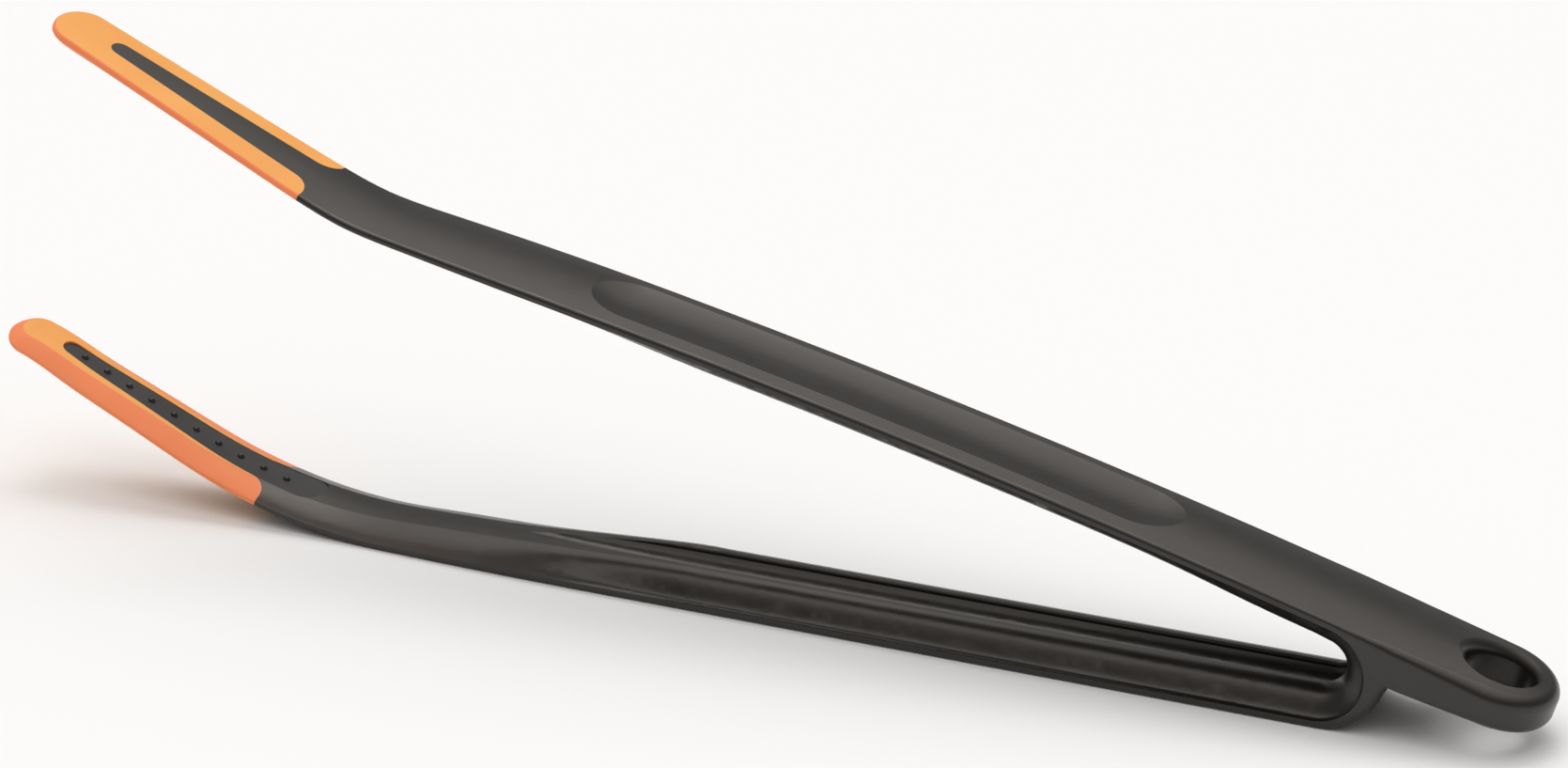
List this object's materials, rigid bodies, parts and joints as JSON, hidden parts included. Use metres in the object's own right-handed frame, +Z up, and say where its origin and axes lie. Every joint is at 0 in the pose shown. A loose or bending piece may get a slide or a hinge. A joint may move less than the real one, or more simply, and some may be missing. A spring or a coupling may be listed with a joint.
{
  "type": "kitchen tongs",
  "caption": "Spring loaded kitchen tongs: a sprung bow joins two long handles whose bent tips carry soft silicone and nubbed grip strips; the tail has a hanging hole.",
  "frame": {"origin": "on the table, in the middle of the flat foot of the lower arm between the bow and its hollow", "axes": "+X from the noses to the tail, +Y across the arms, +Z up from the table"},
  "size_m": [0.3032, 0.0214, 0.0925],
  "materials": {
    "handle_nylon": "satin moulded black nylon",
    "tip_silicone": "matt orange silicone",
    "strip_rubber": "matt black with shiny nubs"
  },
  "bodies": {
    "lower": {"lower_arm": "handle_nylon", "spring_bow": "handle_nylon", "lower_tip_sleeve": "tip_silicone", "lower_grip_strip": "strip_rubber"},
    "upper": {"upper_arm": "handle_nylon", "upper_tip_sleeve": "tip_silicone", "upper_grip_strip": "strip_rubber"}
  },
  "joints": [
    {"name": "squeeze", "type": "hinge", "parent": "lower", "child": "upper", "pos_m": [0.0164, 0, 0.0102], "axis": [0, -1, 0], "range_deg": [0, 13.25], "stiffness_Nm_per_rad": 3.4, "springref_deg": -0.69, "deforming": ["spring_bow"]}
  ]
}
